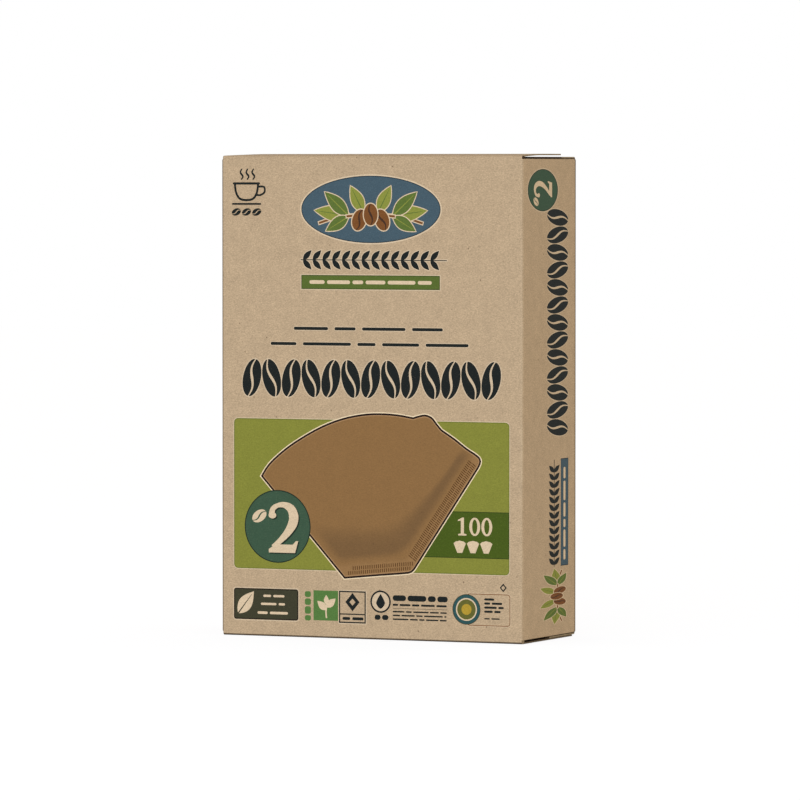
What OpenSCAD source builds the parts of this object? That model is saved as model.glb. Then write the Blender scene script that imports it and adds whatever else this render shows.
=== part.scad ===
/* [Carton] */
// Width of the front panel, from side panel to side panel
carton_w = 122; // [80:1:200]
// Depth of a side panel, from front panel to back panel
carton_d = 50; // [46:1:64]
// Height of the front panel, up to the fold of the top outer flap
carton_h = 178.5; // [100:0.5:260]

/* [Board] */
// Thickness of the paperboard
board_t = 0.5; // [0.3:0.05:0.6]
// Outer radius of the upright folds between the panels
corner_r = 0.6; // [0.4:0.1:2]
// Outer radius of the folds that the flaps hinge on
flap_fold_r = 0.9; // [0.7:0.05:1.3]
// How far the front and back flaps stop short of each side panel
flap_inset = 0.5; // [0.2:0.05:0.6]
// Size of the clipped corners at the outer flaps' cut edges
flap_corner_clip = 1; // [0.5:0.25:5]

/* [Top closure] */
// How far the outer flap reaches back from the front panel
top_outer_reach = 37.5; // [30:0.5:44]
// How far the inner flap reaches forward from the back panel
top_inner_reach = 38; // [20:0.5:44]
// How far the outer flap bows up over the front fold
top_bow = 0.65; // [0.3:0.05:2]
// Distance behind the front panel at which the outer flap is fully bowed
top_bow_run = 20.5; // [12:0.5:28]
// How sharply the outer flap bows up behind its fold
top_bow_power = 1.8; // [1.2:0.1:3]
// Height of the open slit between the outer flap and the inner flap
top_slit = 0.6; // [0.2:0.1:1.2]
// Length of the slit at the right end of the outer flap
top_slit_length = 16; // [6:0.5:30]
// Length over which the outer flap is pressed down on the inner flap at its left end
top_pressed_length = 8.5; // [4:0.5:20]

/* [Bottom closure] */
// How far the outer flap's cut edge stays from the back panel
bottom_outer_gap = 1.5; // [1.5:0.25:14]
// How far the inner flap reaches forward from the back panel
bottom_inner_reach = 24; // [12:0.5:44]
// Height of the slit between the outer flap and the inner flap
bottom_slit = 0.1; // [0.1:0.05:0.4]
// Length of the slit at each end of the outer flap
bottom_slit_length = 14; // [6:0.5:30]

/* [Glue] */
// How far the glue stays back from the outer flaps' cut edges
glue_setback = 4; // [2:0.5:9]
// Gap between a side flap and the flap folded over it
side_flap_gap = 0.2; // [0.1:0.05:0.8]
// How deep that gap runs in from the side panel
side_flap_gap_depth = 4; // [2:0.5:5.5]
// How far behind the front panel the open slits and gaps begin
slit_setback = 2.5; // [1:0.25:5]
// Stretch of the glue tab that shows between its fold and the left panel's cut edge
seam_gap = 0.5; // [0.2:0.1:2]

/* [Smoothness] */
// Flat steps round each fold
fold_steps = 6; // [3:1:12]
// Flat steps along the outer flap's bow
bow_steps = 8; // [5:1:16]

/* [Hidden] */
kraft = [0.73, 0.64, 0.52];
cut_past = 1;

left = -carton_w / 2;
right = carton_w / 2;
front = -carton_d / 2;
back = carton_d / 2;

// Faces of the plies at the top, from the outer flap down
top_z = carton_h + top_bow;
top_outer_under_z = top_z - board_t;
top_inner_z = top_outer_under_z - top_slit;
top_side_z = top_inner_z - board_t - side_flap_gap;

// Faces of the plies at the bottom, from the outer flap up
bottom_inner_z = board_t + bottom_slit;
bottom_side_z = bottom_inner_z + board_t + side_flap_gap;

// Cut edges of the flaps
top_outer_edge = front + top_outer_reach;
top_inner_edge = back - top_inner_reach;
bottom_outer_edge = back - bottom_outer_gap;
bottom_inner_edge = back - bottom_inner_reach;

// Where the open slits and gaps begin
slit_start = front + slit_setback;

// Angle round a side flap's fold at which the flaps over it begin
side_fold_angle = acos(1 - flap_inset / flap_fold_r);

// Points round a fold, from one angle to another
function fold_arc(x, y, r, from, to) = [
    for (i = [0 : fold_steps])
        let (a = from + (to - from) * i / fold_steps)
            [x + r * cos(a), y + r * sin(a)]
];

// Points of the bowed outer flap behind its fold, lowered by a drop
function bow_line(drop) = [
    for (i = [1 : bow_steps])
        let (
            share = i / bow_steps,
            run = flap_fold_r + (top_bow_run - flap_fold_r) * share,
            rise = top_bow * (1 - pow(1 - share, top_bow_power))
        )
            [front + run, carton_h + rise - drop]
];

function reversed(points) = [for (i = [len(points) - 1 : -1 : 0]) points[i]];
function mirrored(points) = [for (p = reversed(points)) [-p[0], p[1]]];

// Extrudes a side-view profile of [depth, height] points across the width
module across(x0, x1) {
    translate([x0, 0, 0])
        rotate([90, 0, 90])
            linear_extrude(x1 - x0)
                children();
}

// Extrudes a front-view profile of [width, height] points along the depth
module along_depth(y0, y1) {
    translate([0, y1, 0])
        rotate([90, 0, 0])
            linear_extrude(y1 - y0)
                children();
}

module both_ends() {
    children();
    mirror([1, 0, 0]) children();
}

// Seen from above: the four panels' upright folds, and the seam at the left
// of the back, where the left panel's cut edge lies on the folded glue tab
module panels_plan() {
    polygon(concat(
        fold_arc(right - corner_r, front + corner_r, corner_r, -90, 0),
        fold_arc(right - corner_r, back - corner_r, corner_r, 0, 90),
        fold_arc(left + board_t + corner_r, back - corner_r, corner_r, 90, 180),
        [[left + board_t, back - seam_gap - corner_r], [left, back - seam_gap - corner_r]],
        fold_arc(left + corner_r, front + corner_r, corner_r, 180, 270)
    ));
}

// Seen from the side: the front panel with its two outer flaps, and the back
// panel with its two inner flaps
module flaps_profile() {
    r = flap_fold_r;
    polygon(concat(
        fold_arc(front + r, r, r, 180, 270),
        [[bottom_outer_edge, 0], [bottom_outer_edge, bottom_inner_z]],
        fold_arc(back - r, bottom_inner_z + r, r, 270, 360),
        fold_arc(back - r, top_inner_z - r, r, 0, 90),
        [[top_outer_edge, top_inner_z], [top_outer_edge, top_z]],
        reversed(bow_line(0)),
        fold_arc(front + r, carton_h - r, r, 90, 180)
    ));
}

// Seen from the front: the side panels, which fold over lower down than the
// front and back panels do
module sides_profile() {
    r = flap_fold_r;
    right_edge = concat(
        [[right - flap_inset, -cut_past]],
        fold_arc(right - r, bottom_side_z + r, r, -side_fold_angle, 0),
        fold_arc(right - r, top_side_z - r, r, 0, side_fold_angle),
        [[right - flap_inset, top_z + cut_past]]
    );
    polygon(concat(right_edge, mirrored(right_edge)));
}

// Seen from the side: what is open under the top outer flap at its right end
module top_slit_profile() {
    past_edge = top_outer_edge + cut_past;
    polygon(concat(
        [[slit_start, top_side_z], [slit_start, carton_h - board_t]],
        [for (p = bow_line(board_t)) if (p[0] > slit_start) p],
        [
            [past_edge, top_outer_under_z],
            [past_edge, top_inner_z],
            [top_inner_edge, top_inner_z],
            [top_inner_edge, top_side_z]
        ]
    ));
}

// Seen from the side: what is open over the bottom outer flap at its ends
module bottom_slit_profile() {
    past_edge = bottom_outer_edge + cut_past;
    polygon([
        [slit_start, bottom_side_z],
        [slit_start, board_t],
        [past_edge, board_t],
        [past_edge, bottom_inner_z],
        [bottom_inner_edge, bottom_inner_z],
        [bottom_inner_edge, bottom_side_z]
    ]);
}

// Seen from the front: the gap that follows a side flap round its fold, at
// the height of the flap's face, with up as 1 at the top and -1 at the bottom
module side_gap_profile(face_z, up) {
    r = flap_fold_r;
    inner_x = right - side_flap_gap_depth;
    outer_x = right + cut_past;
    gap = concat(
        fold_arc(right - r, -r, r, side_fold_angle, 90),
        [
            [inner_x, 0],
            [inner_x, side_flap_gap],
            [outer_x, side_flap_gap],
            [outer_x, r * sin(side_fold_angle) - r]
        ]
    );
    polygon([for (p = gap) [p[0], face_z + up * p[1]]]);
}

// Seen from the front: what the top outer flap loses where its left end is
// pressed down on the inner flap
module pressed_end_profile() {
    pressed_z = top_inner_z + board_t;
    pressed_to = left + flap_inset + top_pressed_length;
    polygon([
        [left - cut_past, pressed_z],
        [left + flap_inset, pressed_z],
        [pressed_to, top_z],
        [pressed_to, top_z + cut_past],
        [left - cut_past, top_z + cut_past]
    ]);
}

// Open slit along an outer flap's cut edge, as far in as the glue, from x0 on
module edge_slit(x0, edge_y, z0, z1) {
    translate([x0, edge_y - glue_setback, z0])
        cube([right + cut_past - x0, glue_setback + cut_past, z1 - z0]);
}

// Clipped corner at the right end of an outer flap's cut edge
module corner_clip(edge_y, z0, z1) {
    leg = flap_corner_clip + 2 * cut_past;
    translate([right - flap_inset + cut_past, edge_y + cut_past, z0])
        linear_extrude(z1 - z0)
            polygon([[0, 0], [-leg, 0], [0, -leg]]);
}

module folded_blank() {
    intersection() {
        translate([0, 0, -cut_past]) linear_extrude(top_z + 2 * cut_past) panels_plan();
        across(left - cut_past, right + cut_past) flaps_profile();
        along_depth(front - cut_past, back + cut_past) sides_profile();
    }
}

module top_gaps() {
    edge_slit(left + flap_inset + top_pressed_length, top_outer_edge, top_inner_z, top_outer_under_z);
    across(right - top_slit_length, right + cut_past) top_slit_profile();
    along_depth(front - cut_past, back + cut_past) pressed_end_profile();
    both_ends() {
        along_depth(slit_start, back - board_t) side_gap_profile(top_side_z, 1);
        corner_clip(top_outer_edge, top_inner_z + top_slit / 2, top_z + cut_past);
    }
}

module bottom_gaps() {
    edge_slit(left - cut_past, bottom_outer_edge, board_t, bottom_inner_z);
    both_ends() {
        across(right - bottom_slit_length, right + cut_past) bottom_slit_profile();
        along_depth(slit_start, back - board_t) side_gap_profile(bottom_side_z, -1);
        corner_clip(bottom_outer_edge, -cut_past, board_t + bottom_slit / 2);
    }
}

// Closed carton, full to the panels: one blank, folded and glued
module carton() {
    color(kraft)
        difference() {
            folded_blank();
            top_gaps();
            bottom_gaps();
        }
}

carton();
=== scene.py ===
import math

import bmesh
import bpy
from mathutils import Matrix, Vector
from mathutils.geometry import delaunay_2d_cdt


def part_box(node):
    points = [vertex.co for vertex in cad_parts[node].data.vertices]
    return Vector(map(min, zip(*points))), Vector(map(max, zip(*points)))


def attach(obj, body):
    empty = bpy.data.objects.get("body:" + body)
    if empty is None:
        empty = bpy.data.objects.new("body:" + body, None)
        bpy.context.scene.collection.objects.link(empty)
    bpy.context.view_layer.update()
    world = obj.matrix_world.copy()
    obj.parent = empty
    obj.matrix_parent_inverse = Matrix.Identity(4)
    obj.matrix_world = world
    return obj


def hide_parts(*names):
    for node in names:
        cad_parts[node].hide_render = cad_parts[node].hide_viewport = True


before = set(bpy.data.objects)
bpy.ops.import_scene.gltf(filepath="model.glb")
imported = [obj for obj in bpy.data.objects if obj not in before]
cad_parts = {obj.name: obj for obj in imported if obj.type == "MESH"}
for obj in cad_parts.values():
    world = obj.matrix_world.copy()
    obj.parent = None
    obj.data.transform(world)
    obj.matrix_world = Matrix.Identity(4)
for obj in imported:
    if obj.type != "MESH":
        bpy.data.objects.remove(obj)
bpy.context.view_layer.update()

MM = 0.001
LOW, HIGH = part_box("carton")

# The photograph's view, found from the carton's edges: a camera that looks slightly down, angles in degrees
AZIMUTH = 24.316
CAMERA_DIP = 2.0475
CAMERA_DISTANCE = 2420.1 * MM
CAMERA_HEIGHT = 174.17 * MM
CAMERA_ASIDE = 0.43 * MM
LENS_MM = 292.85
SENSOR_MM = 36.0

# Light all round the carton, the lamp in front of it and the white floor
AMBIENT_COLOUR = (1.0, 0.907, 0.78, 1)
AMBIENT_STRENGTH = 0.70
KEY_COLOUR = (0.664, 0.80, 1.0)
KEY_WATTS = 7.36
KEY_SIZE = (1.0, 0.4)
KEY_PLACE = (0.05, -1.3, 0.22)
KEY_AIM = (0, 0, 0.09)
FLOOR_HALF = 4.0
FLOOR_DROP = 0.1 * MM
FLOOR_BASE = (0.2, 0.2, 0.2, 1)
FLOOR_COLOUR = (0.973, 0.982, 1.0, 1)
FLOOR_LIGHT = 0.62
FLOOR_GLOW = 0.268

# Places on the carton that its finish depends on, in millimetres: the flaps' ends, the cut edges of the
# seam and the outer flaps, the gaps between the plies, and how far the painted shade in them reaches
FLAP_END = 60.5
SEAM_EDGE = 23.9
FLAP_EDGES = (12.5, 23.5)
TOP_GAPS = (177.4, 178.6)
BOTTOM_GAPS = (0.52, 1.28)
TOP_SHADE = 178.1
BOTTOM_SHADE = 0.55

# Sizes of the board's texture, then the spacing and the radius of the spots in it
MOTTLE_SIZE = 5.0 * MM
GRAIN_SIZE = 0.43 * MM
FIBRE_SIZE = 0.32 * MM
SPECKS = (5.6 * MM, 0.24 * MM)
FLECKS = (2.4 * MM, 0.17 * MM)

# The print's numerals and rows of beans; the side panel's print is stretched across, as in the photograph
NUMERAL_PITCH = 0.73
BEANS_IN_ROW = 13
BEAN_LEAN = 13
SIDE_STRETCH = (1.82, 1.0)

# Lines of the pictured filter, each from x, y to x, y on the front panel in millimetres
FILTER_RIGHT_SEAM = (79.4, 28.3, 105.2, 64.8)
FILTER_FOOT_SEAM = (50.4, 22.9, 73.5, 25.3)
FILTER_LEVEL = (50.0, 25.0, 76.0, 25.0)
FILTER_LEFT_EDGE = (50.4, 22.6, 16.7, 59.6)


def srgb(red, green, blue):
    """Linear colour of an sRGB colour given from 0 to 255."""
    def linear(value):
        value /= 255
        return value / 12.92 if value <= 0.04045 else ((value + 0.055) / 1.055) ** 2.4
    return (linear(red), linear(green), linear(blue), 1.0)


BOARD_COLOURS = {
    "kraft": srgb(187, 164, 134),
    # Board rubbed pale at the folds, which is also a painted highlight along them
    "kraft_wear_and_highlight": srgb(205, 184, 154),
    # Painted shade at the board's foot, crest and outermost upright folds
    "kraft_painted_shade": srgb(62, 49, 36),
    "board_cut": srgb(146, 130, 104),
    # Painted shade on the ends of the plies under the outer flaps
    "board_slit_painted_shade": srgb(62, 44, 29),
    # Lighter painted shade on the ends of the plies at the foot
    "board_foot_painted_shade": srgb(98, 84, 65),
    # Inner side of the board, darkened as painted shade for the slits and gaps
    "board_inside_painted_shade": srgb(98, 78, 57),
    "speck": srgb(92, 68, 46),
}

INKS = {
    "ink_black": srgb(22, 28, 28),
    "ink_pale": srgb(207, 187, 159),
    "ink_white": srgb(238, 218, 184),
    "ink_blue": srgb(68, 90, 103),
    "ink_blue_rim": srgb(40, 56, 66),
    "ink_bar_green": srgb(86, 104, 44),
    "ink_bar_rim": srgb(58, 76, 28),
    "ink_light_green": srgb(131, 134, 55),
    "ink_light_rim": srgb(104, 113, 40),
    "ink_box_green": srgb(69, 88, 21),
    "ink_box_rim": srgb(50, 66, 18),
    "ink_badge_green": srgb(58, 85, 66),
    "ink_badge_rim": srgb(28, 44, 34),
    "ink_leaf_green": srgb(136, 143, 62),
    "ink_leaf_dark": srgb(92, 112, 50),
    "ink_brown": srgb(120, 76, 38),
    "ink_dark_brown": srgb(66, 44, 32),
    "ink_cream": srgb(217, 196, 166),
    "ink_mark_dark": srgb(60, 60, 43),
    "ink_mark_rim": srgb(32, 27, 17),
    "ink_mark_green": srgb(84, 122, 62),
    "ink_teal": srgb(44, 82, 84),
    "ink_yellow": srgb(176, 148, 50),
    "ink_olive": srgb(98, 98, 44),
    "ink_crimp": srgb(84, 54, 23),
    "ink_filter_line": srgb(30, 16, 12),
    "ink_filter_rim": srgb(170, 134, 96),
}

FILTER_COLOURS = {
    "paper": srgb(139, 105, 65),
    "hollow": srgb(120, 91, 58),
    "seam": srgb(158, 122, 82),
}


# Outlines of printed shapes: lists of points in millimetres

def turned(points, x, y, degrees, stretch=(1.0, 1.0)):
    """Points turned about the origin, stretched, then moved to x, y."""
    c = math.cos(math.radians(degrees))
    s = math.sin(math.radians(degrees))
    return [(x + (c * u - s * v) * stretch[0], y + (s * u + c * v) * stretch[1]) for u, v in points]


def ellipse(x, y, rx, ry, steps=40):
    """Ellipse about x, y."""
    angles = [2 * math.pi * i / steps for i in range(steps)]
    return [(x + rx * math.cos(a), y + ry * math.sin(a)) for a in angles]


def rounded(x0, y0, x1, y1, r=0.0, steps=5):
    """Rectangle with round corners."""
    if r <= 0:
        return [(x0, y0), (x1, y0), (x1, y1), (x0, y1)]
    corners = [(x1 - r, y0 + r, -90), (x1 - r, y1 - r, 0), (x0 + r, y1 - r, 90), (x0 + r, y0 + r, 180)]
    out = []
    for x, y, start in corners:
        for i in range(steps + 1):
            a = math.radians(start + 90 * i / steps)
            out.append((x + r * math.cos(a), y + r * math.sin(a)))
    return out


def bar(x0, x1, y, height):
    """Level dash with round ends."""
    return rounded(x0, y - height / 2, x1, y + height / 2, 0.49 * height, 4)


def diamond(x, y, half_width, half_height):
    """Upright diamond about x, y."""
    return [(x, y - half_height), (x + half_width, y), (x, y + half_height), (x - half_width, y)]


def leaf_outline(length, width, steps=14):
    """Leaf along the x axis from the origin, pointed at both ends."""
    edge = []
    for i in range(steps + 1):
        t = i / steps
        edge.append((length * t, width / 2 * math.sin(math.pi * t ** 0.85)))
    return [(u, -v) for u, v in edge] + edge[-2:0:-1]


def brushed(line, widths):
    """Outline of a line of points whose width runs through the given widths."""
    left, right = [], []
    last = len(line) - 1
    for i, (x, y) in enumerate(line):
        ax, ay = line[max(i - 1, 0)]
        bx, by = line[min(i + 1, last)]
        length = math.hypot(bx - ax, by - ay)
        place = i / last * (len(widths) - 1)
        k = min(int(place), len(widths) - 2)
        half = (widths[k] + (widths[k + 1] - widths[k]) * (place - k)) / 2
        nx = -(by - ay) / length * half
        ny = (bx - ax) / length * half
        left.append((x + nx, y + ny))
        right.append((x - nx, y - ny))
    return right + left[::-1]


def stroke(line, width):
    """Outline of a line of points of one width."""
    return brushed(line, (width, width))


def curve(points, steps=6):
    """Smooth line through the given points."""
    last = len(points) - 1
    out = []
    for i in range(last):
        p0, p1, p2, p3 = points[max(i - 1, 0)], points[i], points[i + 1], points[min(i + 2, last)]
        for k in range(steps):
            t = k / steps
            weights = (
                -0.5 * t + t * t - 0.5 * t ** 3,
                1 - 2.5 * t * t + 1.5 * t ** 3,
                0.5 * t + 2 * t * t - 1.5 * t ** 3,
                -0.5 * t * t + 0.5 * t ** 3,
            )
            out.append(tuple(sum(w * p[j] for w, p in zip(weights, (p0, p1, p2, p3))) for j in (0, 1)))
    out.append(points[-1])
    return out


def grown(outline, distance):
    """Counter-clockwise outline moved outwards."""
    out = []
    for i, (x, y) in enumerate(outline):
        ax, ay = outline[i - 1]
        bx, by = outline[(i + 1) % len(outline)]
        before = math.hypot(x - ax, y - ay)
        after = math.hypot(bx - x, by - y)
        nx = (y - ay) / before + (by - y) / after
        ny = -(x - ax) / before - (bx - x) / after
        scale = 2 * distance / max(nx * nx + ny * ny, 1.6)
        out.append((x + nx * scale, y + ny * scale))
    return out


def numeral(digit):
    """Outlines of a plain numeral one unit high, each with whether it is cut out of those before it."""
    if digit == "0":
        return [(ellipse(0.33, 0.5, 0.33, 0.51), False), (ellipse(0.33, 0.5, 0.155, 0.40), True)]
    if digit == "1":
        stem = [(0.06, 0.0), (0.56, 0.0), (0.56, 0.08), (0.405, 0.11), (0.405, 1.0), (0.31, 1.0)]
        return [(stem + [(0.04, 0.87), (0.04, 0.80), (0.215, 0.83), (0.215, 0.11), (0.06, 0.08)], False)]
    spine = [(0.085, 0.74), (0.11, 0.87), (0.22, 0.945), (0.37, 0.955), (0.51, 0.88), (0.57, 0.73)]
    spine += [(0.54, 0.57), (0.42, 0.39), (0.26, 0.23), (0.11, 0.11)]
    bow = brushed(curve(spine, 4), (0.14, 0.11, 0.09, 0.12, 0.18, 0.21, 0.20, 0.15, 0.11, 0.09))
    foot = [(0.02, 0.0), (0.60, 0.0), (0.67, 0.24), (0.62, 0.24), (0.55, 0.165)]
    foot += [(0.17, 0.165), (0.02, 0.07)]
    return [(bow, False), (ellipse(0.10, 0.745, 0.085, 0.065, 20), False), (foot, False)]


class Art:
    """Shapes printed on a panel, each over those before it, in millimetres from its lower left corner."""

    def __init__(self):
        self.shapes = []

    def add(self, ink, outline):
        """Adds one shape, filled with its ink."""
        self.shapes.append((ink, outline))

    def frame(self, ink, x0, y0, x1, y1, r, width, ground="kraft", halo=0.0):
        """Rectangular line with the ground inside it, and a pale line outside it where one is asked for."""
        if halo:
            self.add("ink_pale", rounded(x0 - halo, y0 - halo, x1 + halo, y1 + halo, r + halo))
        self.add(ink, rounded(x0, y0, x1, y1, r))
        self.add(ground, rounded(x0 + width, y0 + width, x1 - width, y1 - width, max(r - width, 0)))

    def lay(self, drawing, halo):
        """Adds another drawing, with a pale line round all of it."""
        for ink, outline in drawing.shapes:
            self.add("ink_pale", grown(anticlockwise(outline), halo))
        self.shapes += drawing.shapes

    def rings(self, x, y, steps, *layers):
        """Ellipses over one another about x, y, each given by its ink and half its width and height."""
        for ink, rx, ry in layers:
            self.add(ink, ellipse(x, y, rx, ry, steps))

    def leaf(self, x, y, length, width, degrees, ink, rim=0.0, rib=None, stretch=(1.0, 1.0)):
        """Leaf from its stalk end, with a pale rim and a rib where they are asked for."""
        outline = leaf_outline(length, width)
        if rim:
            self.add("ink_cream", turned(grown(outline, rim), x, y, degrees, stretch))
        self.add(ink, turned(outline, x, y, degrees, stretch))
        if rib:
            middle = [(0.0, 0.0), (0.5 * length, 0.0), (0.86 * length, 0.0)]
            line = brushed(middle, (0.09 * width, 0.03 * width))
            self.add(rib, turned(line, x, y, degrees, stretch))

    def bean(self, x, y, length, width, degrees, ink, slit, rim=0.0, stretch=(1.0, 1.0)):
        """Coffee bean, its length at the given angle, with the slit down its middle."""
        if rim:
            outline = ellipse(0, 0, length / 2 + rim, width / 2 + rim)
            self.add("ink_cream", turned(outline, x, y, degrees, stretch))
        self.add(ink, turned(ellipse(0, 0, length / 2, width / 2), x, y, degrees, stretch))
        wave = []
        for i in range(-8, 9):
            wave.append((length / 2 * i / 8, 0.13 * width * math.sin(math.pi * i / 8)))
        line = brushed(wave, (0.05 * width, 0.15 * width, 0.05 * width))
        self.add(slit, turned(line, x, y, degrees, stretch))

    def number(self, digits, x, y, height, ink, ground, degrees=0.0, stretch=(1.0, 1.0)):
        """Plain numerals in a row from x, y."""
        for i, digit in enumerate(digits):
            for outline, cut in numeral(digit):
                points = [((u + i * NUMERAL_PITCH) * height, v * height) for u, v in outline]
                self.add(ground if cut else ink, turned(points, x, y, degrees, stretch))

    def dashes(self, x, y, lengths, gap, height, ink, upright=False):
        """Row of dashes from x, y, level or upright."""
        for length in lengths:
            if upright:
                outline = rounded(x - height / 2, y, x + height / 2, y + length, 0.3 * height, 3)
                y += length + gap
            else:
                outline = bar(x, x + length, y, height)
                x += length + gap
            self.add(ink, outline)


def sprig(art, x, y, size, degrees=0.0, stretch=(1.0, 1.0)):
    """Branch of a coffee plant, with leaves to both sides of three beans."""
    def place(u, v):
        return turned([(u * size, v * size)], x, y, degrees, stretch)[0]

    def twig(points):
        line = stroke([(u * size, v * size) for u, v in curve(points)], 0.8 * size)
        art.add("ink_cream", turned(grown(line, 0.35 * size), x, y, degrees, stretch))
        art.add("ink_brown", turned(line, x, y, degrees, stretch))

    twig([(-21, -4.6), (-12, -2.2), (0, -1.4), (12, -2.2), (21, -4.6)])
    leaves = [
        (8, -2.0, 15, 5.6, 8, "ink_leaf_green", "ink_leaf_dark"),
        (9, -1.8, 13, 5.2, 42, "ink_leaf_dark", "ink_leaf_green"),
        (9, -2.2, 10.6, 4.6, -30, "ink_leaf_dark", "ink_leaf_green"),
        (3, -0.6, 11, 5.0, 62, "ink_leaf_green", "ink_leaf_dark"),
    ]
    for u, v, length, width, angle, ink, rib in leaves:
        for way in (1, -1):
            px, py = place(way * u, v)
            turn = degrees + (angle if way > 0 else 180 - angle)
            art.leaf(px, py, length * size, width * size, turn, ink, 0.35 * size, rib, stretch)
    twig([(-9.8, -2.1), (0, -1.4), (9.8, -2.1)])
    length, width, rim = 8.0 * size, 5.6 * size, 0.4 * size
    for u, v, angle in ((-4.6, -3.4, 70), (4.6, -3.4, 110), (0, -1.4, 90)):
        px, py = place(u, v)
        art.bean(px, py, length, width, degrees + angle, "ink_brown", "ink_dark_brown", rim, stretch)


def garland(art, x, y, length, leaf_length, leaf_width, pairs, degrees=0.0, stretch=(1.0, 1.0)):
    """Straight stem with pairs of small leaves along it."""
    stem = [(0.0, 0.0), (length / 2, 0.0), (length, 0.0)]
    art.add("ink_black", turned(stroke(stem, 0.16 * leaf_width), x, y, degrees, stretch))
    pitch = length / (pairs + 0.9)
    for i in range(pairs):
        (px, py), = turned([(pitch * (i + 0.25), 0.0)], x, y, degrees, stretch)
        for angle in (46, -46):
            art.leaf(px, py, leaf_length, leaf_width, degrees + angle, "ink_black", stretch=stretch)


def bean_row(art, place, step, length, width, degrees, halo, stretch=(1.0, 1.0)):
    """Row of black beans that lean to either side in turn, with a pale line round them."""
    row = Art()
    for i in range(BEANS_IN_ROW):
        x = place[0] + step[0] * i
        y = place[1] + step[1] * i
        lean = BEAN_LEAN if i % 2 else -BEAN_LEAN
        row.bean(x, y, length, width, degrees + lean, "ink_black", "ink_pale", 0.0, stretch)
    art.lay(row, halo)


def cup_mark(art):
    """Line drawing of a steaming cup over three small beans."""
    bowl = [(5.4, 168.2), (5.9, 164.9), (7.4, 162.6), (10.2, 162.0)]
    bowl += [(13.0, 162.6), (14.5, 164.9), (15.0, 168.2)]
    art.add("ink_black", stroke(curve(bowl), 0.85))
    art.add("ink_black", bar(4.6, 15.8, 168.2, 0.85))
    handle = curve([(15.0, 167.0), (17.4, 166.9), (17.6, 165.0), (15.9, 163.9), (14.3, 164.0)])
    art.add("ink_black", stroke(handle, 0.75))
    for x in (8.0, 10.4, 12.8):
        steam = curve([(x, 169.6), (x + 0.7, 170.8), (x - 0.3, 172.3), (x + 0.4, 173.7)])
        art.add("ink_black", brushed(steam, (0.45, 0.8, 0.4)))
    art.add("ink_black", bar(4.2, 16.2, 160.6, 0.7))
    for x in (6.0, 10.2, 14.4):
        art.bean(x, 157.6, 3.9, 2.6, 20, "ink_black", "kraft")


def filter_outline():
    """Outline of the folded cone filter pictured on the front."""
    arc = [(16.7, 59.6), (19.8, 64.0), (25.9, 69.2), (32.7, 73.6), (40.9, 77.9), (49.0, 80.9)]
    arc += [(57.1, 82.6), (64.0, 83.1), (71.5, 82.8), (78.1, 81.8)]
    tab = [(78.1, 81.8), (80.1, 82.4), (82.8, 82.9), (85.4, 82.0), (87.3, 79.8), (89.3, 77.6)]
    shoulder = [(89.3, 77.6), (94.6, 74.3), (99.2, 71.0), (103.7, 68.3), (104.8, 66.5), (103.9, 64.3)]
    foot = [(79.4, 28.2), (77.3, 25.65), (73.5, 24.95), (65.2, 24.2), (50.4, 22.75)]
    clockwise = curve(arc, 3)[:-1] + curve(tab, 3)[:-1] + curve(shoulder, 3) + curve(foot, 3)
    return clockwise[::-1]


def crimps(art, x0, y0, x1, y1, rows, pitch, tilt=0.0):
    """Rows of short pressed strokes across a band, each row given by where it starts and its length."""
    length = math.hypot(x1 - x0, y1 - y0)
    ux, uy = (x1 - x0) / length, (y1 - y0) / length
    nx, ny = -uy, ux
    for k in range(int(length / pitch)):
        along = (k + 0.5) * pitch
        for start, reach in rows:
            x = x0 + ux * along + nx * start
            y = y0 + uy * along + ny * start
            tip = (x + nx * reach + ux * tilt, y + ny * reach + uy * tilt)
            art.add("ink_crimp", stroke([(x, y), tip], 0.34))


def filter_picture(art):
    """Cone filter with its dark line, pale line outside that, and its crimped seams."""
    outline = filter_outline()
    art.add("ink_white", grown(outline, 0.9))
    art.add("ink_filter_line", grown(outline, 0.53))
    art.add("ink_filter_rim", grown(outline, -0.18))
    art.add("filter_paper", grown(outline, -0.48))
    crimps(art, 79.6, 28.6, 104.4, 65.1, ((0.8, 1.7), (2.75, 1.7)), 0.82, 0.2)
    crimps(art, 51.6, 22.85, 77.6, 25.35, ((0.8, 1.3),), 0.86, 0.1)
    crimps(art, 53.6, 23.05, 79.0, 25.5, ((2.4, 1.4),), 0.86, 0.1)


def badge(art):
    """Round green badge with a plain numeral and a small bean."""
    art.rings(22.9, 40.95, 64, ("ink_badge_rim", 13.55, 13.55), ("ink_badge_green", 13.15, 13.15))
    art.number("2", 19.4, 30.75, 18.6, "ink_badge_rim", "ink_badge_green")
    art.number("2", 18.9, 31.2, 18.6, "ink_cream", "ink_badge_green")
    art.bean(15.4, 44.7, 6.4, 4.2, 32, "ink_cream", "ink_badge_green")


def small_filter(art, x, y, width, ink):
    """Small cone filter, its foot at x, y."""
    points = [(-0.2, 0.0), (0.2, 0.0), (0.5, 0.72), (0.33, 0.85), (0.0, 0.92), (-0.33, 0.85), (-0.5, 0.72)]
    art.add(ink, [(x + u * width, y + v * width) for u, v in points])


def count_box(art):
    """Plain number over three small filters, inside the dark green box."""
    art.number("100", 95.8, 39.3, 6.6, "ink_cream", "ink_box_green")
    for x in (96.8, 102.1, 107.4):
        small_filter(art, x, 32.9, 4.9, "ink_cream")


def leaf_plate(art):
    """Dark plate with a pale leaf and dashes."""
    art.frame("ink_mark_rim", 4.9, 6.1, 31.4, 17.7, 0.9, 0.45, "ink_mark_dark", 0.4)
    art.leaf(6.6, 8.2, 10.6, 5.4, 52, "ink_cream", rib="ink_mark_dark")
    art.dashes(17.0, 15.0, (3.2, 4.6), 0.9, 0.85, "ink_cream")
    art.dashes(16.0, 12.0, (6.4, 2.6), 0.9, 0.85, "ink_cream")
    art.dashes(14.6, 8.7, (4.2, 7.4), 0.9, 0.95, "ink_cream")


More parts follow.
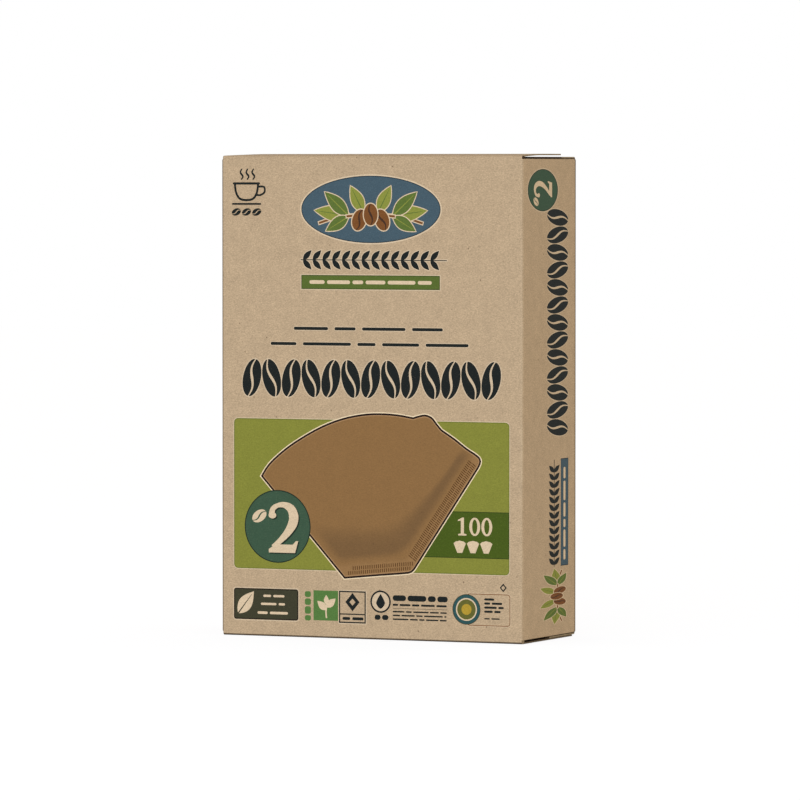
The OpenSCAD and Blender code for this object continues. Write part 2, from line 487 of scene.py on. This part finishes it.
def sprout_plate(art):
    """Green strip and green square with a pale sprout."""
    art.dashes(35.3, 6.3, (2.0, 2.8, 2.4, 2.2), 0.5, 2.5, "ink_mark_green", True)
    art.add("ink_mark_green", rounded(37.6, 6.5, 48.2, 17.6))
    art.add("ink_cream", stroke(curve([(42.9, 7.4), (42.7, 10.0), (43.1, 12.6)]), 0.6))
    art.leaf(42.9, 11.4, 5.0, 2.7, 42, "ink_cream")
    art.leaf(42.9, 10.4, 5.0, 2.7, 138, "ink_cream")
    art.leaf(42.9, 12.4, 3.6, 2.0, 92, "ink_cream")


def diamond_plate(art):
    """Outlined square with a diamond over a strip of dashes."""
    art.frame("ink_black", 48.0, 5.8, 58.9, 17.7, 0.0, 0.5, halo=0.35)
    art.add("ink_black", diamond(53.5, 13.6, 2.9, 3.4))
    art.add("kraft", diamond(53.5, 13.6, 1.2, 1.3))
    art.add("ink_black", rounded(48.2, 8.9, 58.7, 9.35))
    art.dashes(49.4, 7.5, (3.2, 4.6), 0.8, 1.1, "ink_black")


def drop_ring(art):
    """Ring round a drop, over two dashes."""
    art.rings(64.9, 14.1, 40, ("ink_black", 4.15, 4.15), ("ink_pale", 3.5, 3.5))
    drop = [(64.9, 17.0), (66.2, 14.9), (66.6, 13.2), (64.9, 11.5)]
    drop += [(63.2, 13.2), (63.6, 14.9), (64.9, 17.0)]
    art.add("ink_black", curve(drop)[:-1])
    art.dashes(62.5, 8.3, (2.4, 2.6), 0.6, 1.9, "ink_black")


def line_block(art):
    """Block of dashes under a heavy row."""
    art.dashes(69.8, 15.6, (5.4, 7.6, 3.2, 4.2), 0.6, 2.1, "ink_black")
    art.dashes(69.8, 13.1, (2.2, 4.4, 3.0, 5.6, 4.2), 0.6, 0.75, "ink_black")
    art.add("ink_black", rounded(69.8, 11.7, 91.8, 11.85))
    art.dashes(69.8, 10.6, (4.8, 2.4, 6.2, 3.6, 2.6), 0.55, 0.55, "ink_black")
    art.dashes(69.8, 9.2, (3.0, 5.4, 2.6, 7.6, 0.9), 0.55, 0.55, "ink_black")
    art.dashes(69.8, 7.8, (6.4, 3.2, 2.2, 5.0, 2.8), 0.55, 0.55, "ink_black")


def ring_disc(art):
    """Disc of coloured bands beside an outlined plate of dashes, with a small diamond above them."""
    art.frame("ink_brown", 99.5, 6.3, 117.0, 18.1, 1.2, 0.28, halo=0.2)
    bands = {"ink_mark_dark": 5.6, "ink_teal": 5.35, "ink_cream": 4.2, "ink_olive": 3.7, "ink_yellow": 2.0}
    art.rings(99.5, 12.2, 48, *((ink, r, r) for ink, r in bands.items()))
    for y, lengths in ((16.1, (4.0,)), (14.6, (2.4, 4.2)), (13.1, (5.0, 2.2)), (11.6, (3.4, 2.6))):
        art.dashes(106.6, y, lengths, 0.6, 0.8, "ink_black")
    art.dashes(106.6, 9.0, (2.2, 3.4), 0.6, 0.5, "ink_black")
    art.add("ink_black", diamond(114.2, 20.5, 1.4, 1.6))
    art.add("kraft", diamond(114.2, 20.5, 0.8, 0.9))


def front_art():
    """Everything printed on the front panel."""
    art = Art()
    cup_mark(art)
    oval = (("ink_cream", 28.7, 12.9), ("ink_blue_rim", 28.2, 12.4), ("ink_blue", 27.85, 12.05))
    art.rings(60.9, 158.7, 80, *oval)
    sprig(art, 60.9, 158.2, 1.0)
    leafy = Art()
    garland(leafy, 32.4, 140.0, 59.2, 5.0, 2.1, 14)
    art.lay(leafy, 0.3)
    art.frame("ink_bar_rim", 32.7, 129.2, 88.8, 134.4, 0.0, 0.3, "ink_bar_green", 0.35)
    art.dashes(36.0, 131.8, (6.2, 9.4, 4.4, 8.0, 11.2, 5.6), 0.95, 1.35, "ink_cream")
    lines = Art()
    lines.dashes(29.6, 114.6, (14.0, 8.6, 17.6, 12.4), 2.6, 1.15, "ink_black")
    lines.dashes(20.1, 108.9, (10.6, 19.6, 7.4, 15.0, 17.2), 2.6, 1.15, "ink_black")
    art.lay(lines, 0.25)
    bean_row(art, (12.4, 96.1), (8.08, 0.0), 14.2, 7.3, 90, 0.35)
    art.frame("ink_light_rim", 5.0, 25.1, 116.6, 80.95, 1.6, 0.3, "ink_light_green", 0.3)
    art.frame("ink_box_rim", 72.0, 31.0, 116.6, 48.1, 0.0, 0.3, "ink_box_green")
    filter_picture(art)
    badge(art)
    count_box(art)
    leaf_plate(art)
    sprout_plate(art)
    diamond_plate(art)
    drop_ring(art)
    line_block(art)
    ring_disc(art)
    return art


def side_art():
    """Everything printed on the right side panel, read with the head turned left."""
    art = Art()
    oval = (("ink_pale", 14.7, 8.1), ("ink_badge_rim", 14.1, 7.75), ("ink_badge_green", 13.6, 7.5))
    art.rings(18.4, 165.8, 64, *oval)
    art.number("2", 27.0, 163.0, 9.2, "ink_cream", "ink_badge_green", 90, SIDE_STRETCH)
    art.bean(12.0, 161.6, 3.4, 2.2, 120, "ink_cream", "ink_badge_green", 0.0, SIDE_STRETCH)
    bean_row(art, (32.3, 78.2), (0.0, 6.46), 11.2, 5.9, 0, 0.3, SIDE_STRETCH)
    garland(art, 29.3, 26.8, 39.6, 3.8, 1.8, 13, 90, SIDE_STRETCH)
    art.frame("ink_blue_rim", 35.5, 26.8, 42.6, 66.6, 0.0, 0.35, "ink_blue")
    art.dashes(39.0, 29.0, (3.8, 6.4, 3.0, 5.2, 7.2, 4.2), 0.9, 1.9, "ink_cream", True)
    sprig(art, 29.6, 15.8, 0.45, 90, (3.3, 1.0))
    return art


# Mesh

class Panel:
    """Flat panel of the carton: its lower left corner and the ways its width and height run."""

    def __init__(self, corner, across, up):
        self.corner = Vector(corner)
        self.across = Vector(across)
        self.up = Vector(up)
        self.normal = self.across.cross(self.up)

    def flat(self, point):
        """Place on the panel, in millimetres, of a point of the mesh."""
        offset = point - self.corner
        return Vector((offset.dot(self.across) / MM, offset.dot(self.up) / MM))

    def point(self, place):
        """Point of the mesh at a place on the panel."""
        return self.corner + (self.across * place[0] + self.up * place[1]) * MM

    def holds(self, face):
        """Whether a face of the mesh lies on the panel."""
        offset = (face.calc_center_median() - self.corner).dot(self.normal)
        return face.normal.dot(self.normal) > 0.9999 and abs(offset) < 0.01 * MM


def rim_of(faces):
    """Corners round a patch of faces, in the faces' own turning sense."""
    inside = set(faces)
    following = {}
    for face in faces:
        for loop in face.loops:
            if not any(other in inside for other in loop.edge.link_faces if other != face):
                following[loop.vert] = loop.link_loop_next.vert
    start = next(iter(following))
    rim = [start]
    while following[rim[-1]] != start:
        rim.append(following[rim[-1]])
    return rim


def anticlockwise(outline):
    """Outline in counter-clockwise order."""
    area = 0.0
    for i, (x, y) in enumerate(outline):
        px, py = outline[i - 1]
        area += px * y - x * py
    return outline if area > 0 else outline[::-1]


def print_on(mesh, panel, art, slots):
    """Cuts a panel of the mesh along the printed shapes and gives each piece its ink."""
    faces = [face for face in mesh.faces if panel.holds(face)]
    rim = rim_of(faces)
    bmesh.ops.delete(mesh, geom=faces, context="FACES_ONLY")
    points = [panel.flat(vert.co) for vert in rim]
    outlines = [list(range(len(rim)))]
    for ink, outline in art.shapes:
        first = len(points)
        points += [Vector(p) for p in anticlockwise(outline)]
        outlines.append(list(range(first, len(points))))
    inside_outlines, tolerance, with_sources = 1, 1e-4, True
    places, _, pieces, point_sources, _, sources = delaunay_2d_cdt(
        points, [], outlines, inside_outlines, tolerance, with_sources
    )
    verts = []
    for place, origin in zip(places, point_sources):
        corner = [i for i in origin if i < len(rim)]
        verts.append(rim[corner[0]] if corner else mesh.verts.new(panel.point(place)))
    for piece, origin in zip(pieces, sources):
        face = mesh.faces.new([verts[i] for i in piece])
        topmost = max(origin)
        face.material_index = slots["kraft" if topmost == 0 else art.shapes[topmost - 1][0]]


def board_finish(face):
    """Finish of a face of the bare board: its outside, a fold, a cut edge or the inside of a slit, with
    painted shade on what lies in the slits and gaps.
    """
    x, y, z = face.calc_center_median() / MM
    nx, ny, nz = (abs(n) for n in face.normal)
    square, nearly_level, near = 0.999, 0.98, 0.01
    if nx > square and abs(abs(x) - FLAP_END) < near:
        if y > SEAM_EDGE:
            return "kraft"
        # Ends of the plies under the outer flaps and at the foot get painted shade
        in_shade = z < BOTTOM_SHADE or TOP_GAPS[0] < z < TOP_SHADE
        return "board_slit_painted_shade" if in_shade else "board_cut"
    if ny > square and any(abs(y - edge) < near for edge in FLAP_EDGES + (SEAM_EDGE,)):
        return "board_cut"
    clipped_corner = abs(nx - math.sqrt(0.5)) < near and abs(ny - math.sqrt(0.5)) < near
    if clipped_corner:
        return "board_cut"
    if nz > nearly_level:
        # Level faces that face into the carton get the inner side's colour with painted shade
        faces_out = (z > HIGH.z / MM / 2) == (face.normal.z > 0)
        return "kraft" if faces_out else "board_inside_painted_shade"
    if nx > square or ny > square:
        # Upright faces inside the gaps between the plies get painted shade
        in_gap = TOP_GAPS[0] < z < TOP_GAPS[1] or BOTTOM_GAPS[0] < z < BOTTOM_GAPS[1]
        return "board_inside_painted_shade" if in_gap else "kraft"
    return "kraft_fold"


def carton_board(materials):
    """The carton with its print and finishes, on a copy of the solid's mesh."""
    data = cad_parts["carton"].data.copy()
    piece = bpy.data.objects.new("printed_board", data)
    bpy.context.scene.collection.objects.link(piece)
    data.materials.clear()
    slots = {}
    for name, material in materials.items():
        slots[name] = len(data.materials)
        data.materials.append(material)
    mesh = bmesh.new()
    mesh.from_mesh(data)
    bmesh.ops.remove_doubles(mesh, verts=mesh.verts, dist=0.001 * MM)
    for face in mesh.faces:
        finish = board_finish(face)
        face.material_index = slots[finish]
        face.smooth = finish == "kraft_fold"
    front = Panel((LOW.x, LOW.y, 0), (1, 0, 0), (0, 0, 1))
    side = Panel((HIGH.x, LOW.y, 0), (0, 1, 0), (0, 0, 1))
    print_on(mesh, front, front_art(), slots)
    print_on(mesh, side, side_art(), slots)
    mesh.to_mesh(data)
    mesh.free()
    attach(piece, "root")
    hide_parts("carton")
    return piece


# Materials

def add(tree, kind, inputs=None, **settings):
    """Node with its settings and inputs; an input is a value or another node's output."""
    node = tree.nodes.new(kind)
    for name, value in settings.items():
        setattr(node, name, value)
    for socket, value in (inputs or {}).items():
        if isinstance(value, bpy.types.NodeSocket):
            tree.links.new(value, node.inputs[socket])
        else:
            node.inputs[socket].default_value = value
    return node


def calc(tree, operation, first, second=0.0, third=0.0):
    """Result of a Math node's operation on up to three values."""
    inputs = {0: first, 1: second, 2: third}
    return add(tree, "ShaderNodeMath", inputs, operation=operation).outputs[0]


def mixed(tree, share, first, second, blend="MIX"):
    """Colour that goes from the first to the second as the share goes from 0 to 1."""
    node = add(tree, "ShaderNodeMix", {0: share, 6: first, 7: second}, data_type="RGBA", blend_type=blend)
    return node.outputs[2]


def noise(tree, coordinates, size, detail=2.0, roughness=0.5):
    """Noise whose features are about the given size, as a value round 0.5."""
    inputs = {"Vector": coordinates, "Scale": 1 / size, "Detail": detail, "Roughness": roughness}
    return add(tree, "ShaderNodeTexNoise", inputs).outputs["Fac"]


def ramp(tree, value, low, high, to_low=0.0, to_high=1.0):
    """Value eased from one range into another."""
    inputs = {0: value, 1: low, 2: high, 3: to_low, 4: to_high}
    return add(tree, "ShaderNodeMapRange", inputs, interpolation_type="SMOOTHSTEP").outputs[0]


class Board:
    """Shader values that all of the carton's finishes share: grain, fibres, specks, and the wear, painted
    highlight and painted shade at its edges.
    """

    def __init__(self, name):
        self.material = bpy.data.materials.new(name)
        self.material.use_nodes = True
        tree = self.tree = self.material.node_tree
        self.surface = tree.nodes["Principled BSDF"]
        self.place = add(tree, "ShaderNodeTexCoord").outputs["Object"]
        self.parts = add(tree, "ShaderNodeSeparateXYZ", {0: self.place}).outputs
        self.mottle = noise(tree, self.place, MOTTLE_SIZE, 1.0)
        self.grain = noise(tree, self.place, GRAIN_SIZE, 2.0, 0.6)
        self.fibres = noise(tree, self.scaled(0.4, 0.4, 1.0), FIBRE_SIZE, 2.0, 0.6)
        self.specks = self.scattered(*SPECKS)
        self.flecks = self.scattered(*FLECKS)

    def scaled(self, x, y, z):
        """Coordinates that draw a texture out along an axis whose scale is below 1."""
        inputs = {"Vector": self.place, "Scale": (x, y, z)}
        return add(self.tree, "ShaderNodeMapping", inputs).outputs[0]

    def scattered(self, spacing, radius):
        """1 within small spots that are strewn through the board, 0 elsewhere."""
        inputs = {"Vector": self.scaled(1.0, 1.0, 0.7), "Scale": 1 / spacing}
        distance = add(self.tree, "ShaderNodeTexVoronoi", inputs).outputs["Distance"]
        return ramp(self.tree, distance, 0.6 * radius / spacing, 1.3 * radius / spacing, 1.0, 0.0)

    def tone(self, strength):
        """Brightness of the board's texture, 1 on average."""
        tree = self.tree
        value = 1.0
        for texture, reach in ((self.mottle, 0.2), (self.grain, 0.78), (self.fibres, 0.78)):
            part = calc(tree, "MULTIPLY_ADD", texture, reach * strength, 1 - reach * strength / 2)
            value = calc(tree, "MULTIPLY", value, part)
        return value

    def wear_and_highlight(self, reach):
        """Wear with a painted highlight: 1 on the carton's folds, falling to 0 at the given reach from
        them, in patches.
        """
        tree = self.tree
        closeness = []
        for part, half in ((self.parts[0], HIGH.x), (self.parts[1], HIGH.y)):
            closeness.append(ramp(tree, calc(tree, "ABSOLUTE", part), half - reach, half))
        height = calc(tree, "ABSOLUTE", calc(tree, "SUBTRACT", self.parts[2], HIGH.z / 2))
        closeness.append(ramp(tree, height, HIGH.z / 2 - reach, HIGH.z / 2))
        x, y, z = closeness
        pairs = [calc(tree, "MULTIPLY", a, b) for a, b in ((x, y), (y, z), (x, z))]
        nearest = calc(tree, "MAXIMUM", calc(tree, "MAXIMUM", pairs[0], pairs[1]), pairs[2])
        patches = ramp(tree, noise(tree, self.place, 14.0 * MM, 3.0), 0.38, 0.62, 0.35, 1.0)
        return calc(tree, "MULTIPLY", nearest, patches)

    def painted_shade(self):
        """Painted shade: how far the board is darkened at its foot, its crest and its two outermost upright
        folds.
        """
        tree = self.tree
        x, y, z = self.parts
        foot = ramp(tree, z, 0.42 * MM, 0.88 * MM, 0.95, 0.0)
        crest = ramp(tree, z, HIGH.z - 0.6 * MM, HIGH.z - 0.1 * MM, 0.0, 0.3)
        crest = calc(tree, "MULTIPLY", crest, ramp(tree, y, LOW.y + 7 * MM, LOW.y + 17 * MM, 1.0, 0.0))
        back = ramp(tree, y, HIGH.y - 1.5 * MM, HIGH.y - 1.2 * MM, 0.0, 0.72)
        back = calc(tree, "MULTIPLY", back, ramp(tree, x, HIGH.x - 2 * MM, HIGH.x - MM))
        left = ramp(tree, x, LOW.x + 0.45 * MM, LOW.x + 0.8 * MM, 0.62, 0.0)
        left = calc(tree, "MULTIPLY", left, ramp(tree, y, LOW.y + 0.3 * MM, LOW.y + 0.9 * MM, 1.0, 0.0))
        ends = calc(tree, "MAXIMUM", foot, crest)
        folds = calc(tree, "MAXIMUM", back, left)
        return calc(tree, "MAXIMUM", ends, folds)

    def inward(self, x0, y0, x1, y1):
        """Distance into the pictured filter from one of its lines."""
        length = math.hypot(x1 - x0, y1 - y0)
        way = 1 if x1 > x0 else -1
        nx = -way * (y1 - y0) / length
        ny = way * (x1 - x0) / length
        start = -(nx * (x0 * MM + LOW.x) + ny * y0 * MM)
        rise = calc(self.tree, "MULTIPLY_ADD", self.parts[2], ny, start)
        return calc(self.tree, "MULTIPLY_ADD", self.parts[0], nx, rise)

    def finish(self, colour, roughness, bump, texture=1.0, specks=1.0, shine=0.25):
        """Sets the surface from a colour, with the board's texture over it."""
        tree = self.tree
        channels = dict.fromkeys(range(3), self.tone(texture))
        tone = add(tree, "ShaderNodeCombineColor", channels).outputs[0]
        colour = mixed(tree, 1.0, colour, tone, "MULTIPLY")
        for spots, strength in ((self.specks, 0.75), (self.flecks, 0.34)):
            share = calc(tree, "MULTIPLY", spots, strength * specks)
            colour = mixed(tree, share, colour, BOARD_COLOURS["speck"])
        tree.links.new(colour, self.surface.inputs["Base Color"])
        rough = calc(tree, "MULTIPLY_ADD", self.grain, 0.16, roughness - 0.08)
        tree.links.new(rough, self.surface.inputs["Roughness"])
        self.surface.inputs["Specular IOR Level"].default_value = shine
        height = calc(tree, "MULTIPLY_ADD", self.fibres, 0.6, calc(tree, "MULTIPLY", self.grain, 0.8))
        inputs = {"Height": height, "Strength": bump, "Distance": 0.05 * MM}
        tree.links.new(add(tree, "ShaderNodeBump", inputs).outputs[0], self.surface.inputs["Normal"])
        return self.material


def kraft_material(name, roughness, bump, wear_and_highlight_strength):
    """Unprinted outside of the board, rubbed pale by its folds with a painted highlight there, and darkened
    by painted shade at its foot and edges.
    """
    board = Board(name)
    tree = board.tree
    pale = calc(tree, "MULTIPLY", board.wear_and_highlight(reach=1.6 * MM), wear_and_highlight_strength)
    colour = mixed(tree, pale, BOARD_COLOURS["kraft"], BOARD_COLOURS["kraft_wear_and_highlight"])
    colour = mixed(tree, board.painted_shade(), colour, BOARD_COLOURS["kraft_painted_shade"])
    return board.finish(colour, roughness, bump)


def plain_material(name, bump, texture):
    """Board in one colour, with its own texture."""
    return Board(name).finish(BOARD_COLOURS[name], 0.88, bump, texture, specks=0.5)


def slit_material():
    """Ends of the plies that lie deep in shade, with that shade painted into their colour, paler where they
    come out into the open and at the foot.
    """
    board = Board("board_slit_painted_shade")
    tree = board.tree
    out = ramp(tree, board.parts[1], (FLAP_EDGES[0] - 1.5) * MM, (FLAP_EDGES[0] + 1.0) * MM)
    colour = mixed(tree, out, BOARD_COLOURS["board_slit_painted_shade"], BOARD_COLOURS["board_cut"])
    # Lighter painted shade at the foot
    foot = ramp(tree, board.parts[2], 1.0 * MM, 2.0 * MM, 1.0, 0.0)
    colour = mixed(tree, foot, colour, BOARD_COLOURS["board_foot_painted_shade"])
    return board.finish(colour, roughness=0.9, bump=1.2)


def ink_material(name):
    """Flat ink on the board, thinner where the grain is coarse, with the kraft showing through a little."""
    board = Board(name)
    thin = ramp(board.tree, board.grain, 0.58, 0.80, 0.0, 0.10)
    colour = mixed(board.tree, thin, INKS[name], BOARD_COLOURS["kraft"])
    return board.finish(colour, roughness=0.70, bump=0.22, texture=0.6, specks=0.4, shine=0.12)


def filter_material():
    """Printed picture of filter paper, with a soft hollow along its two seams."""
    board = Board("filter_paper")
    tree = board.tree
    right = board.inward(*FILTER_RIGHT_SEAM)
    foot = board.inward(*FILTER_FOOT_SEAM)
    level = board.inward(*FILTER_LEVEL)
    left = board.inward(*FILTER_LEFT_EDGE)
    outer = calc(tree, "SMOOTH_MIN", right, foot, 7.0 * MM)
    inner = calc(tree, "SMOOTH_MIN", right, level, 8.0 * MM)
    reach = ramp(tree, level, 10.0 * MM, 26.0 * MM, 21.0 * MM, 14.5 * MM)
    reach = calc(tree, "SUBTRACT", reach, ramp(tree, level, 20.0 * MM, 38.0 * MM, 0.0, 3.8 * MM))
    hollow = ramp(tree, outer, 4.9 * MM, 8.2 * MM)
    hollow = calc(tree, "MULTIPLY", hollow, ramp(tree, inner, 8.8 * MM, reach, 1.0, 0.0))
    hollow = calc(tree, "MULTIPLY", hollow, ramp(tree, board.parts[2], 67.0 * MM, 72.0 * MM, 1.0, 0.0))
    hollow = calc(tree, "MULTIPLY", hollow, ramp(tree, left, 0.6 * MM, 5.0 * MM))
    colour = mixed(tree, hollow, FILTER_COLOURS["paper"], FILTER_COLOURS["hollow"])
    seam = ramp(tree, calc(tree, "MINIMUM", right, foot), 3.2 * MM, 5.5 * MM, 0.42, 0.0)
    colour = mixed(tree, seam, colour, FILTER_COLOURS["seam"])
    return board.finish(colour, roughness=0.7, bump=0.25, texture=0.5, specks=0.8, shine=0.12)


def carton_materials():
    """Every finish and ink of the carton, by name."""
    materials = {
        "kraft": kraft_material("kraft", roughness=0.80, bump=0.35, wear_and_highlight_strength=0.35),
        "kraft_fold": kraft_material("kraft_fold", roughness=0.84, bump=0.6, wear_and_highlight_strength=0.5),
        "board_cut": plain_material("board_cut", bump=0.9, texture=1.4),
        "board_slit_painted_shade": slit_material(),
        "board_inside_painted_shade": plain_material("board_inside_painted_shade", bump=0.5, texture=1.0),
        "filter_paper": filter_material(),
    }
    for name in INKS:
        materials[name] = ink_material(name)
    return materials


# Photograph

def place_camera():
    """Camera at the photograph's place."""
    azimuth = math.radians(AZIMUTH)
    right = Vector((math.cos(azimuth), math.sin(azimuth), 0))
    level = Vector((-math.sin(azimuth), math.cos(azimuth), 0))
    spot = right * CAMERA_ASIDE - level * CAMERA_DISTANCE + Vector((0, 0, CAMERA_HEIGHT))
    dip = math.radians(CAMERA_DIP)
    forward = level * math.cos(dip) - Vector((0, 0, math.sin(dip)))
    up = right.cross(forward)
    data = bpy.data.cameras.new("camera")
    data.lens = LENS_MM
    data.sensor_width = SENSOR_MM
    data.clip_start = 0.05
    data.clip_end = 20.0
    camera = bpy.data.objects.new("camera", data)
    camera.matrix_world = Matrix.Translation(spot) @ Matrix((right, up, -forward)).transposed().to_4x4()
    bpy.context.scene.collection.objects.link(camera)
    bpy.context.scene.camera = camera


def white_surroundings():
    """White behind the carton, and a slightly warm light all round it."""
    world = bpy.data.worlds.new("surroundings")
    world.use_nodes = True
    bpy.context.scene.world = world
    tree = world.node_tree
    rays = add(tree, "ShaderNodeLightPath").outputs
    seen = calc(tree, "MAXIMUM", rays["Is Camera Ray"], rays["Is Glossy Ray"])
    light = tree.nodes["Background"]
    light.inputs["Color"].default_value = AMBIENT_COLOUR
    light.inputs["Strength"].default_value = AMBIENT_STRENGTH
    white = add(tree, "ShaderNodeBackground", {"Color": (1, 1, 1, 1), "Strength": 1.0})
    mix = add(tree, "ShaderNodeMixShader", {0: seen, 1: light.outputs[0], 2: white.outputs[0]})
    tree.links.new(mix.outputs[0], tree.nodes["World Output"].inputs["Surface"])


def key_light():
    """Wide soft lamp that faces the front panel from low down."""
    data = bpy.data.lights.new("key", "AREA")
    data.shape = "RECTANGLE"
    data.size, data.size_y = KEY_SIZE
    data.color = KEY_COLOUR
    data.energy = KEY_WATTS
    lamp = bpy.data.objects.new("key", data)
    lamp.location = KEY_PLACE
    aim = Vector(KEY_AIM) - lamp.location
    lamp.rotation_euler = aim.to_track_quat("-Z", "Y").to_euler()
    bpy.context.scene.collection.objects.link(lamp)


def white_floor():
    """Floor that reads as white, with the carton's own faint shadow on it."""
    data = bpy.data.meshes.new("floor")
    ways = ((-1, -1), (1, -1), (1, 1), (-1, 1))
    corners = [(x * FLOOR_HALF, y * FLOOR_HALF, -FLOOR_DROP) for x, y in ways]
    data.from_pydata(corners, [], [(0, 1, 2, 3)])
    floor = bpy.data.objects.new("floor", data)
    bpy.context.scene.collection.objects.link(floor)
    material = bpy.data.materials.new("floor")
    material.use_nodes = True
    tree = material.node_tree
    surface = tree.nodes["Principled BSDF"]
    surface.inputs["Base Color"].default_value = FLOOR_BASE
    surface.inputs["Roughness"].default_value = 0.9
    surface.inputs["Specular IOR Level"].default_value = 0.0
    seen = add(tree, "ShaderNodeLightPath").outputs["Is Camera Ray"]
    tree.links.new(mixed(tree, seen, AMBIENT_COLOUR, FLOOR_COLOUR), surface.inputs["Emission Color"])
    glow = calc(tree, "MULTIPLY_ADD", seen, FLOOR_GLOW, FLOOR_LIGHT)
    tree.links.new(glow, surface.inputs["Emission Strength"])
    data.materials.append(material)


carton_board(carton_materials())
white_floor()
white_surroundings()
key_light()
place_camera()
bpy.context.scene.view_settings.view_transform = "Standard"
